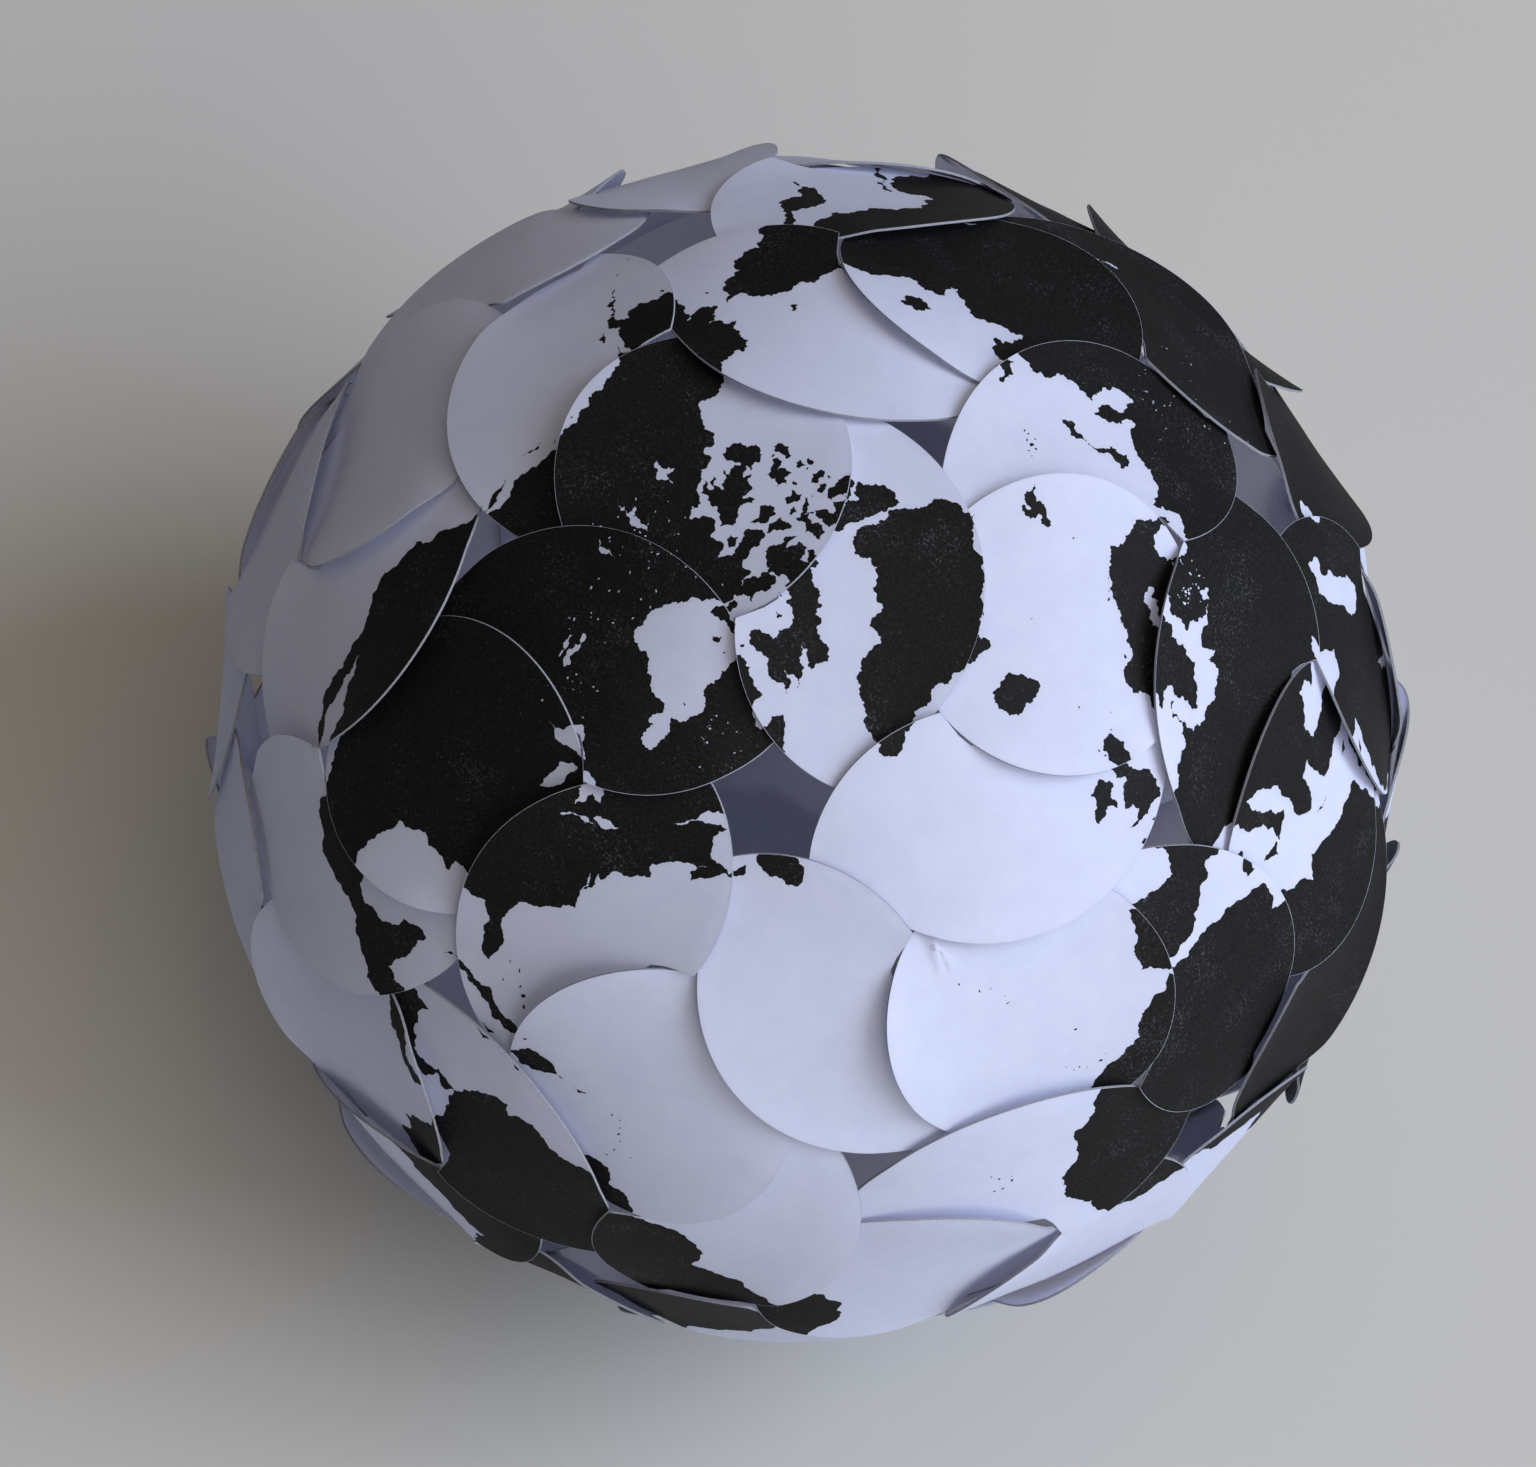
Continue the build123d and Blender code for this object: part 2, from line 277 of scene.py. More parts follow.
        (35, -20), (35.5, -24), (32.8, -27), (30, -31), (25.7, -34), (20, -34.8), (18.3, -33.5),
        (16.5, -28.5), (14.5, -22.5), (11.8, -17), (13.6, -11.5), (12, -5.5), (9.3, -1), (9.6, 3.5),
        (6, 4.3), (1, 6), (-4, 5.2), (-7.7, 4.4), (-11.5, 7), (-13.5, 9.5), (-16.7, 12.4), (-17.4, 14.7),
        (-16.3, 18), (-17, 21), (-14.8, 25.8), (-13, 27.8), (-9.8, 30), (-9.5, 32), (-6.5, 34.2)],
    "eurasia": [
        (-5.4, 36.1), (-8.9, 37), (-9.4, 38.7), (-8.8, 41.5), (-9.2, 43.2), (-3, 43.5), (-1.4, 44),
        (-1.2, 46), (-4.7, 48.3), (-1.5, 48.7), (-1.8, 49.7), (1.5, 50.2), (4.5, 52.3), (7, 53.5),
        (8.6, 54), (8.2, 56.5), (10.5, 57.7), (10, 55.5), (10.9, 54), (14.2, 54), (18.5, 54.8),
        (21, 55.5), (21.5, 57.4), (24, 57.2), (23.5, 59.2), (30, 60), (25, 60.3), (21.5, 61), (21.3, 63),
        (25, 65.5), (22, 65.8), (17.5, 62), (18.8, 60), (16.5, 57.5), (14.2, 55.4), (12.8, 55.6),
        (11.2, 59), (7, 58), (5, 60.5), (5.2, 62), (10.5, 64.3), (14, 67), (20, 70), (25.7, 71.1),
        (31, 70.3), (41, 67.5), (40.5, 66.4), (33, 66.8), (35, 64.3), (40, 65), (44, 66.2), (43.5, 68.4),
        (46, 68), (54, 68.3), (60.5, 69.8), (67, 68.8), (67, 71), (70, 73.2), (72.5, 71), (73.5, 68),
        (74.5, 72.8), (80.5, 73.6), (87, 75), (104, 77.7), (113, 75.8), (106, 73.2), (114, 73.7),
        (127, 73), (130, 71), (140, 72.6), (152, 71), (160, 69.7), (170, 69.8), (180, 68.8),
        (190.2, 66.1), (187, 64.4), (179.5, 62.5), (170, 60), (163, 58), (162, 56), (156.7, 51),
        (155.7, 57), (163, 61.7), (160, 61.8), (155, 59.3), (143, 59.3), (135.5, 54.7), (141, 53),
        (140, 48.5), (133, 43), (130.5, 42.3), (127.5, 39.5), (129.4, 36), (126.3, 34.4), (125, 38),
        (121.5, 39), (118, 39), (122.4, 37), (119.3, 35), (121.9, 31), (121, 28), (117, 23.5),
        (110.3, 21), (108, 21.6), (106, 19), (109.2, 13), (107, 10.4), (105, 8.6), (105, 10.5),
        (102.5, 12), (100.9, 13.4), (99.3, 10), (100.5, 7), (103.5, 4), (104.2, 1.3), (101, 3), (98.5, 8),
        (98.6, 13), (97.5, 16.6), (94.3, 16), (94, 19), (91, 22.5), (87, 21.2), (82, 16.5), (80.2, 13),
        (80, 10), (77.5, 8), (74.5, 13.5), (72.8, 19), (72.5, 21), (69, 22), (67, 24.8), (61.5, 25.1),
        (57, 26.9), (51.5, 27.9), (48.5, 30), (50, 27), (51.5, 25.5), (54, 24.2), (56.3, 26.3),
        (59.8, 22.5), (55.2, 17.5), (45, 12.8), (43.3, 13), (42.7, 16.5), (39, 21.5), (35, 28),
        (34.9, 29.4), (34.3, 31.3), (35.8, 35), (36, 36.8), (30.6, 36.8), (27.3, 37), (26.2, 39.2),
        (26, 40.7), (23.7, 40), (24, 38), (23, 36.5), (21.3, 37.2), (19.4, 41), (19, 42.3), (14, 45),
        (12.4, 45.2), (13.6, 43.5), (18.4, 40.2), (17, 39), (16, 38), (15.5, 40), (12, 42), (10, 44),
        (7.5, 43.8), (3.2, 43), (3.2, 41.8), (0, 39), (-0.5, 37.6), (-2, 36.8)],
    "britain": [
        (-5.5, 50.1), (1.4, 51.2), (1.7, 52.7), (-0.2, 54.2), (-2, 56), (-1.8, 57.6), (-3.2, 58.6),
        (-5, 58.6), (-6, 56.7), (-4.8, 54.7), (-3, 53.9), (-4.6, 53.2), (-5.2, 51.8), (-3, 51.2)],
    "ireland": [(-10, 51.6), (-6.3, 52.2), (-5.7, 54.5), (-7.5, 55.3), (-10, 54.2)],
    "iceland": [(-24.3, 65.6), (-22, 66.4), (-16, 66.5), (-13.6, 65), (-18.8, 63.4), (-22.7, 63.9)],
    "svalbard": [
        (11, 79.5), (14, 79.8), (15.5, 79), (16.5, 80), (21, 80.3), (27, 80), (20, 79), (21.5, 78.3),
        (18.5, 77.6), (16.6, 76.6), (14, 77.5), (16.5, 78.2), (12, 78.4)],
    "novayaZemlya": [
        (51.5, 71.6), (55.5, 73.8), (60, 76), (68.5, 76.9), (61, 75.2), (57.5, 73), (57, 70.8)],
    "severnayaZemlya": [(95, 79.3), (97, 81), (105, 79), (100, 78.2)],
    "newSiberia": [(138, 75.5), (143, 76), (150, 75.2), (142, 74)],
    "wrangel": [(179, 71.2), (182, 71.4), (181, 70.9)],
    "sicily": [(12.5, 37.8), (15.5, 38.2), (15, 36.8)],
    "sardinia": [(8.3, 39), (8.4, 40.9), (9.6, 41), (9.5, 39.2)],
    "crete": [(23.6, 35.4), (26.2, 35.2), (24.8, 34.9)],
    "cyprus": [(32.4, 34.8), (34.4, 35.5), (33.6, 34.7)],
    "japan": [
        (130, 31.4), (131, 33.9), (135.5, 35.6), (139.5, 38.5), (140.2, 41.2), (140.2, 43.4), (142, 45.4),
        (145.2, 43.3), (141, 42), (142, 39.5), (140.8, 35.5), (136, 33.6)],
    "sakhalin": [(142, 46), (142, 54), (143.3, 53), (143.5, 49)],
    "taiwan": [(120.2, 23), (121.5, 25.2), (120.8, 22)],
    "hainan": [(108.8, 19), (110.7, 20), (109.6, 18.3)],
    "luzon": [(120, 15), (120.6, 18.5), (122.2, 18.4), (121.5, 15), (124, 12.8), (120.8, 13.8)],
    "mindanao": [(122, 7.2), (125.5, 9.7), (126.5, 7), (125.3, 5.8)],
    "borneo": [(109, 1.5), (113, 3.2), (117, 7), (119, 5), (117.5, 1), (116, -4), (110.5, -2.8)],
    "sumatra": [(95.3, 5.6), (98, 4.4), (103.5, -1), (106, -3), (105.5, -5.8), (101, -3)],
    "java": [(105.3, -6.7), (110.8, -6.5), (114.4, -7.8), (108.5, -7.8)],
    "sulawesi": [(119.4, -5.5), (119, -2.5), (120.3, 1), (125, 1.5), (121, -0.8), (123, -4.5), (121, -3)],
    "newGuinea": [
        (131, -0.8), (134, -0.9), (137.5, -1.6), (145, -4.3), (147.5, -6), (150.5, -10.3), (146.5, -8.8),
        (143, -9), (138, -8.2), (135, -4.4), (132.5, -4)],
    "australia": [
        (113.7, -22.5), (122, -18), (126, -14), (130, -12.5), (132.5, -11.3), (137, -12.2), (135.8, -15),
        (140.8, -17.5), (142.5, -10.8), (145.3, -15), (147.5, -19.4), (153, -25.5), (153.3, -29),
        (150, -37.3), (146.3, -39), (140.5, -38), (138, -35.5), (137.8, -33), (135.8, -34.8), (131, -31.6),
        (124, -33.2), (118, -35), (115, -34.2), (115.8, -32), (113.4, -26)],
    "tasmania": [(144.7, -40.8), (148.2, -40.9), (147, -43.5)],
    "newZealandNorth": [(172.8, -34.5), (175.5, -36.8), (178.4, -37.7), (175.3, -41.5), (174, -39.3)],
    "newZealandSouth": [(172.7, -40.6), (174.2, -41.5), (171, -44.5), (168.5, -46.6), (166.5, -45.8)],
    "madagascar": [(49.3, -12), (50.4, -15.5), (47.2, -25), (44, -24), (44.2, -17)],
    "sriLanka": [(79.8, 8), (80.3, 9.6), (81.8, 7), (80.5, 6)],
    "antarctica": [
        (-180, -78), (-158, -77), (-140, -75), (-110, -74), (-95, -72.5), (-75, -72.5), (-65, -66),
        (-57.5, -63.3), (-62, -68), (-62, -74), (-75, -78), (-58, -77.5), (-35, -78), (-15, -72.5),
        (5, -70), (30, -69.5), (50, -66.5), (70, -70), (80, -68), (100, -66), (135, -66), (155, -69),
        (170, -71.5), (164, -77)],
}
waters = {
    "blackSea": [
        (28.2, 43.5), (30.5, 46.3), (33, 46), (33.6, 44.5), (35.5, 45.2), (39, 47), (37.5, 45), (41.5, 42),
        (38, 41), (35, 42), (31, 41.3), (29, 41.3)],
    "caspian": [
        (47.5, 45), (51, 46.8), (53, 45.3), (51, 44.5), (52.8, 41), (53.9, 37.2), (50, 37.5), (49.3, 40.3),
        (48, 42.5)],
    "superior": [(-92, 46.7), (-88.5, 48.7), (-84.8, 46.8), (-87.5, 46.6)],
    "michigan": [(-87.5, 41.8), (-86.4, 42.5), (-85.2, 45.8), (-87.5, 44.8)],
    "huron": [(-82.5, 43.2), (-81.6, 45), (-80.1, 44.7), (-80.8, 45.9), (-84, 46), (-83.3, 44.5)],
    "erie": [(-83.2, 41.7), (-79, 42.8), (-81.5, 42.6)],
    "ontario": [(-79.7, 43.3), (-76.5, 44), (-77.5, 43.3)],
    "winnipeg": [(-96.8, 50.5), (-98.1, 52), (-99, 53.6), (-98.1, 53.6), (-97.4, 52.2), (-96.4, 51)],
    "manitoba": [(-98.4, 50.6), (-100.1, 52.5), (-99.8, 52.7), (-98.8, 51.3)],
    "slave": [(-116.8, 61), (-114.7, 61.6), (-115.5, 62.5), (-113.7, 62), (-109.4, 62.8), (-112.6, 61.6)],
    "bear": [
        (-124.3, 65.2), (-122.3, 65.6), (-121.6, 66.7), (-120.7, 65.9), (-117.9, 66.3), (-119.7, 65.4),
        (-120.2, 64.9), (-121.8, 65.2)],
    "athabasca": [(-111, 58.8), (-106.5, 59.4), (-109, 59)],
    "aral": [(58.5, 44.5), (59.5, 46.3), (61.5, 46), (60, 44)],
    "baikal": [(104, 51.6), (108, 53.5), (109.8, 55.6), (109, 53.2), (106, 51.9)],
    "victoriaLake": [(32, -2.4), (32, 0.3), (34, 0.2), (33.8, -2.4)],
    "ladoga": [(30.8, 60), (30.5, 61.4), (32.8, 60.6)],
}
# how ragged a coast is, and from which north on ice has cut it into fjords
coast = {"step": 0.2, "rough": 0.2, "fjordRough": 0.3, "fjordNorth": 51.0, "seed": 11}
# lands that ice scraped into small lakes: longitude, latitude and reach in degrees, count, longest in mm
lakeLands = {
    "slaveLand": (-112, 62.5, 4.5, 16, 0.3), "barrens": (-102, 63.5, 5.0, 22, 0.3),
    "prairieEdge": (-101, 55.5, 4.0, 14, 0.35), "lakeOfWoods": (-92.5, 50.5, 3.0, 10, 0.3),
    "ungava": (-73, 57, 3.5, 16, 0.3), "labrador": (-66.5, 53.8, 3.0, 10, 0.35),
    "finland": (27.5, 62.5, 1.6, 18, 0.4), "karelia": (33, 63, 2.0, 10, 0.5),
    "siberia": (75, 62, 8.0, 40, 0.3),
}
# islets: longest in mm, then longitude and latitude of each
islets = {
    "azores": (0.45, (-31.2, 39.5), (-28.6, 38.6), (-27.2, 38.7), (-25.5, 37.8), (-25.1, 37.0)),
    "canaries": (0.5, (-18, 28.7), (-17.1, 28.1), (-16.5, 28.3), (-15.6, 28), (-14.1, 28.4), (-13.6, 29.1)),
    "madeira": (0.4, (-17, 32.7)),
    "capeVerde": (0.4, (-25.1, 17.1), (-24.2, 16.6), (-22.9, 16.7), (-22.8, 16.1), (-23.6, 15.1),
                  (-24.4, 14.9)),
    "bahamas": (0.8, (-78.2, 24.4), (-78.5, 26.6), (-77.2, 26.4), (-76.3, 25), (-75.6, 24.3),
                (-75, 23.3), (-73.3, 21)),
    "antilles": (0.4, (-61.8, 17.1), (-62.7, 17.3), (-61.5, 16.2), (-61.4, 15.4), (-61, 14.6), (-61, 13.9),
                 (-61.2, 13.2), (-61.7, 12.1), (-59.5, 13.2), (-61.3, 10.5)),
    "franzJosef": (0.6, (47, 80.6), (50, 80.9), (54, 80.6), (57, 81), (61, 80.8), (58, 80.2),
                   (52, 80.2), (63, 81.1)),
    "northSea": (0.4, (-1.3, 60.3), (-3, 59), (-7, 62.1), (-7, 57.9), (-6.3, 57.3), (-8.4, 71), (19, 74.4)),
    "hudson": (0.6, (-79.4, 56.3), (-79.8, 62), (-81.4, 53.1), (-77.8, 63.4), (-81.5, 68.9), (-78.5, 69)),
    "beaufort": (0.6, (-104.5, 76.5), (-108.5, 78.1), (-95.5, 77.2), (-99.7, 79.4),
                 (-97.5, 76.1), (-118.8, 75.6)),
    "alaska": (0.5, (-170.3, 63.5), (-166, 60.1), (-168, 53.4), (-172, 52.5), (-175, 52),
               (-135, 57.6), (-132.5, 55.5)),
    "norway": (0.5, (14, 68.3), (15.5, 68.8), (18, 69.6), (23, 70.6), (12.5, 66), (8.2, 63.5)),
}


def globeDirection(longitude, latitude):
    east, north = math.radians(longitude), math.radians(latitude)
    return np.array([math.cos(north) * math.cos(east), math.cos(north) * math.sin(east), math.sin(north)])


def raggedCoast(outline, seed):  # breaks each run of a coast again and again, a little to one side
    draw = random.Random(seed)
    ring = [globeDirection(*corner) for corner in outline]
    fjordHeight = math.sin(math.radians(coast["fjordNorth"]))
    line = []

    def run(a, b):
        length = np.linalg.norm(b - a)
        rough = coast["fjordRough"] if a[2] > fjordHeight else coast["rough"]
        shift = draw.uniform(-1, 1) * rough * length
        if length * leafCut["ballRadius"] < coast["step"]:
            return
        across = np.cross(a, b)
        middle = (a + b) / 2 + across / np.linalg.norm(across) * shift
        middle /= np.linalg.norm(middle)
        run(a, middle)
        line.append(middle)
        run(middle, b)

    for a, b in zip(ring, ring[1:] + ring[:1]):
        line.append(a)
        run(a, b)
    return np.array(line)


def blot(draw, east, north, longest):  # a small ragged patch
    narrow = math.cos(math.radians(north))
    length = math.degrees(longest * draw.uniform(0.35, 1) / leafCut["ballRadius"]) / 2
    width, tilt = length * draw.uniform(0.35, 0.75), draw.uniform(0, math.pi)
    corners = []
    for k in range(6):
        turn, size = math.pi * k / 3, draw.uniform(0.6, 1)
        a, b = length * size * math.cos(turn), width * size * math.sin(turn)
        corners.append((east + (a * math.cos(tilt) - b * math.sin(tilt)) / narrow,
                        north + a * math.sin(tilt) + b * math.cos(tilt)))
    return corners


def smallLakes():
    draw = random.Random(coast["seed"])
    outlines = []
    for longitude, latitude, reach, count, longest in lakeLands.values():
        for i in range(count):
            north = draw.gauss(latitude, reach / 2)
            east = longitude + draw.gauss(0, reach / 2) / math.cos(math.radians(north))
            outlines.append(blot(draw, east, north, longest))
    return outlines


def smallIslands():
    draw = random.Random(coast["seed"] + 1)
    return [blot(draw, *place, group[0]) for group in islets.values() for place in group[1:]]


# one leaf as it is cut in the frame: lengths in mm, angles in degrees at the ball's middle
leafCut = {
    "ballRadius": 49.0, "paper": 0.2, "lobeLift": 0.3,
    "bodyBend": 0.82, "lobeBend": 0.89, "bodyStraight": -38.0, "lobeStraight": -73.0,
    "bodyHalfWidth": 13.6, "bodyHalfLength": 15.0,
    "outerCentre": (0.2, 7.2), "outerArc": 18.4,
    "tipCentre": (-0.4, -4.3), "tipArc": 14.65, "toeLevel": -6.0,
    "hook": ((-5.0, 9.7), (-2.9, 7.55), (-1.7, 6.75)), "slitEnd": (16.7, 8.6),
    "neck": ((17.3, 11.4), (20.8, 12.0), (19.8, 6.5), (16.0, 3.0)),
    "edgeStep": 0.4, "faceStep": 1.7, "bareRim": 0.022,
}
# how far up a direction has to point, on a sheet's own axes, to be printed, to reach it, or to pass it
upLimit = {"printed": 0.3, "landNear": 0.7, "sheetNear": 0.75}


def onBall(angle):
    return leafCut["ballRadius"] * math.sin(math.radians(angle))


def spot(angles):
    return np.array([onBall(angles[0]), onBall(angles[1])])


def arcPoints(centre, radius, start, end):
    count = max(2, int(abs(end - start) * radius / leafCut["edgeStep"]))
    turns = [start + (end - start) * i / count for i in range(count + 1)]
    return [centre + radius * np.array([math.cos(t), math.sin(t)]) for t in turns]


def straightPoints(start, end):
    count = max(1, int(np.linalg.norm(end - start) / leafCut["edgeStep"]))
    return [start + (end - start) * i / count for i in range(count + 1)]


def meetLine(centre, radius, start, end):  # where a run that starts outside a circle goes in
    along = end - start
    a, b, c = along @ along, 2 * along @ (start - centre), (start - centre) @ (start - centre) - radius ** 2
    return start + along * (-b - math.sqrt(b * b - 4 * a * c)) / (2 * a)


def leftPoint(centre, radius, level):  # the left one of a circle's two points at a height
    return np.array([centre[0] - math.sqrt(radius ** 2 - (level - centre[1]) ** 2), level])


def turnOf(point, centre):
    return math.atan2(point[1] - centre[1], point[0] - centre[0])


def bodyOutline():
    wide, long = onBall(leafCut["bodyHalfWidth"]), onBall(leafCut["bodyHalfLength"])
    count = int(2 * math.pi * long / leafCut["edgeStep"])
    turns = [2 * math.pi * i / count for i in range(count)]
    return np.array([(wide * math.cos(t), long * math.sin(t)) for t in turns])


def lobeOutline():
    outer, outerRadius = spot(leafCut["outerCentre"]), onBall(leafCut["outerArc"])
    tip, tipRadius = spot(leafCut["tipCentre"]), onBall(leafCut["tipArc"])
    hook = [spot(angles) for angles in leafCut["hook"]]
    neck = [spot(angles) for angles in leafCut["neck"]]
    slitEnd, toeLevel = spot(leafCut["slitEnd"]), onBall(leafCut["toeLevel"])
    heel = meetLine(outer, outerRadius, neck[2], neck[3])
    toeHeel, toeTip = leftPoint(outer, outerRadius, toeLevel), leftPoint(tip, tipRadius, toeLevel)
    hookStart = meetLine(tip, tipRadius, hook[0], hook[1])
    fullTurn = 2 * math.pi
    runs = [straightPoints(hook[2], slitEnd), straightPoints(slitEnd, neck[0]),
            straightPoints(neck[0], neck[1]), straightPoints(neck[1], neck[2]),
            straightPoints(neck[2], heel),
            arcPoints(outer, outerRadius, turnOf(heel, outer), turnOf(toeHeel, outer)),
            straightPoints(toeHeel, toeTip),
            arcPoints(tip, tipRadius, turnOf(toeTip, tip) % fullTurn, turnOf(hookStart, tip) % fullTurn),
            straightPoints(hookStart, hook[1]), straightPoints(hook[1], hook[2])]
    return np.array([point for points in runs for point in points[:-1]])


def inside(points, ring):  # even-odd test of many points against one closed ring
    x, y = points[:, :1], points[:, 1:]
    a, b = ring, np.roll(ring, -1, axis=0)
    crosses = (a[None, :, 1] > y) != (b[None, :, 1] > y)
    rise = b[:, 1] - a[:, 1]
    rise = np.where(rise == 0, 1e-12, rise)
    edgeX = a[None, :, 0] + (y - a[None, :, 1]) * ((b[:, 0] - a[:, 0]) / rise)[None, :]
    return ((crosses & (x < edgeX)).sum(axis=1) % 2).astype(bool)


def shrunk(ring, distance):  # the ring moved inwards, for the bare rim where the toner stops
    before, after = np.roll(ring, 1, axis=0), np.roll(ring, -1, axis=0)
    along = after - before
    along /= np.linalg.norm(along, axis=1)[:, None]
    left = np.stack([-along[:, 1], along[:, 0]], axis=1)
    area = np.sum(ring[:, 0] * after[:, 1] - after[:, 0] * ring[:, 1])
    return ring + left * np.reshape(distance, (-1, 1)) * (1 if area > 0 else -1)


bodyCut = {"outline": bodyOutline(), "bend": leafCut["bodyBend"], "straight": leafCut["bodyStraight"],
           "lift": 0.0}
lobeCut = {"outline": lobeOutline(), "bend": leafCut["lobeBend"], "straight": leafCut["lobeStraight"],
           "lift": leafCut["lobeLift"]}


def rollOf(cut):
    bend = leafCut["ballRadius"] * cut["bend"]
    middle = leafCut["ballRadius"] + cut["lift"] - bend
    turn = math.radians(cut["straight"])
    return bend, middle, np.array([-math.sin(turn), math.cos(turn)])


def heightOn(cut, flat, side):  # height of the bent sheet's outer or inner face over its flat plan
    bend, middle, across = rollOf(cut)
    inner = (bend + side * leafCut["paper"] / 2) ** 2 - (flat @ across) ** 2
    return middle + np.sqrt(np.maximum(inner, 0))


def printedAt(cut, directions):  # where rays from the ball's middle meet the sheet, on its flat plan
    bend, middle, across = rollOf(cut)
    flat, up = directions[:, :2], directions[:, 2]
    near = up > upLimit["printed"]
    slope = (flat @ across) ** 2 + up ** 2
    inner = np.maximum(up ** 2 * middle ** 2 - slope * (middle ** 2 - bend ** 2), 0)
    reach = np.where(near, (up * middle + np.sqrt(inner)) / slope, 0)
    flatLength = np.maximum(np.linalg.norm(flat, axis=1), 1e-9)
    far = leafCut["ballRadius"] * np.arccos(np.clip(up, -1, 1)) * 1.2
    return np.where(near[:, None], flat * reach[:, None], flat / flatLength[:, None] * far[:, None])


landOutlines = list(lands.values()) + smallIslands()
landLines = [raggedCoast(outline, coast["seed"] + i) for i, outline in enumerate(landOutlines)]
waterOutlines = list(waters.values()) + smallLakes()
waterLines = [raggedCoast(outline, coast["seed"] + 500 + i) for i, outline in enumerate(waterOutlines)]
print("coasts drawn,", sum(len(line) for line in landLines), "points")


def facePoints(ring, step):  # points over the sheet, so that its bend is smooth
    low, high = ring.min(axis=0), ring.max(axis=0)
    rows = np.arange(low[1] + step / 2, high[1], step * 0.866)
    points = [(x + (step / 2 if i % 2 else 0), y) for i, y in enumerate(rows)
              for x in np.arange(low[0] + step / 4, high[0], step)]
    points = np.array(points)
    return points[inside(points, shrunk(ring, np.full(len(ring), step * 0.4)))]


def sheetMesh(key, cut, turn):
    ring = cut["outline"]
    draw = np.random.default_rng(key[0] * 10 + key[1])
    wander = np.convolve(draw.uniform(0.2, 1.8, len(ring) + 8), np.ones(9) / 9, "valid")
    rim = shrunk(ring, leafCut["bareRim"] * wander)
    reach = np.linalg.norm(ring, axis=1).max() + 2
    points = [ring, rim, np.concatenate([facePoints(ring, leafCut["faceStep"]), creasePoints(key)])]
    edges = []
    start = 0
    for loop in (ring, rim):
        n = len(loop)
        edges += [(start + i, start + (i + 1) % n) for i in range(n)]
        start += n
    start += len(points[2])
    landRings, waterRings = [], []
    for lines, rings in ((landLines, landRings), (waterLines, waterRings)):
        for line in lines:
            local = line @ turn  # into the sheet's own axes
            if local[:, 2].max() < upLimit["landNear"]:
                continue
            flat = printedAt(cut, local)
            rings.append(flat)
            close = (np.linalg.norm(flat, axis=1) < reach) & (local[:, 2] > upLimit["printed"])
            for i in np.nonzero(close & np.roll(close, -1))[0]:
                edges.append((start + i, start + (i + 1) % len(flat)))
            points.append(np.where(close[:, None], flat, flat * 0 + 3 * reach))
            start += len(flat)
    stacked = np.concatenate(points)
    used = np.zeros(len(stacked), bool)
    used[:len(ring) + len(rim) + len(points[2])] = True
    used[[i for edge in edges for i in edge]] = True
    number = np.cumsum(used) - 1
    solved = delaunay_2d_cdt([Vector(p) for p in stacked[used]],
                             [(int(number[a]), int(number[b])) for a, b in edges], [], 0, 1e-5)
    flat = np.array([tuple(v) for v in solved[0]])
    faces = np.array([tuple(f) for f in solved[2]])
    middles = flat[faces].mean(axis=1)
    kept = inside(middles, ring)
    faces, middles = faces[kept], middles[kept]
    ink = np.zeros(len(faces), bool)
    for land in landRings:
        ink |= inside(middles, land)
    for water in waterRings:
        ink &= ~inside(middles, water)
    ink &= inside(middles, rim)
    return flat, faces, ink


def leafTurns():  # the axes of each leaf, from the edges of an icosahedron
    near, far = math.atan(3 - math.sqrt(5)), math.atan(3 + math.sqrt(5))
    rings = ((near, 60), (far, 0), (math.pi - far, 60), (math.pi - near, 0))
    corners = [np.array([math.sin(p) * math.cos(t), math.sin(p) * math.sin(t), math.cos(p)])
               for p, first in rings for t in (math.radians(first + 120 * k) for k in range(3))]
    turns = []
    for i, a in enumerate(corners):
        for b in corners[i + 1:]:
            if abs(a @ b - 1 / math.sqrt(5)) < 0.01:
                out = (a + b) / np.linalg.norm(a + b)
                wide = np.cross(b - a, out)
                wide /= np.linalg.norm(wide)
                turns.append(np.stack([wide, np.cross(out, wide), out], axis=1))
    return turns


def lobeTurn():  # the axes of a leaf's first lobe, on the leaf's own axes
    corner, side = math.atan(2) / 2, math.atan((3 - math.sqrt(5)) / 2)
    fiveGap = np.array([0, -math.sin(corner), math.cos(corner)])
    threeGap = np.array([math.sin(side), 0, math.cos(side)])
    along = threeGap - fiveGap
    along /= np.linalg.norm(along)
    out = threeGap + fiveGap
    out /= np.linalg.norm(out)
    return np.stack([along, np.cross(out, along), out], axis=1)


def sheetsOf(turn):
    halfTurn = np.diag([-1.0, -1.0, 1.0])
    return (bodyCut, turn), (lobeCut, turn @ lobeTurn()), (lobeCut, turn @ halfTurn @ lobeTurn())


# where no other sheet lies over it, a cut edge stands up a little, each edge its own way: lengths in mm
standing = {
    "most": 0.75, "width": 8.0, "hold": 0.8, "fade": 4.5, "wave": 21.0, "spotStep": 0.9, "seed": 900,
}
# small creases where a leaf was pinched as it was hooked in: leaf and sheet, then start and end in mm
creases = {(6, 0): ((0.0, -10.9, 0.9, -7.6), (0.3, -10.7, -0.7, -8.6), (0.1, -10.9, 1.8, -8.4))}
creaseLook = {"height": 0.36, "half": 0.3, "step": 0.3}


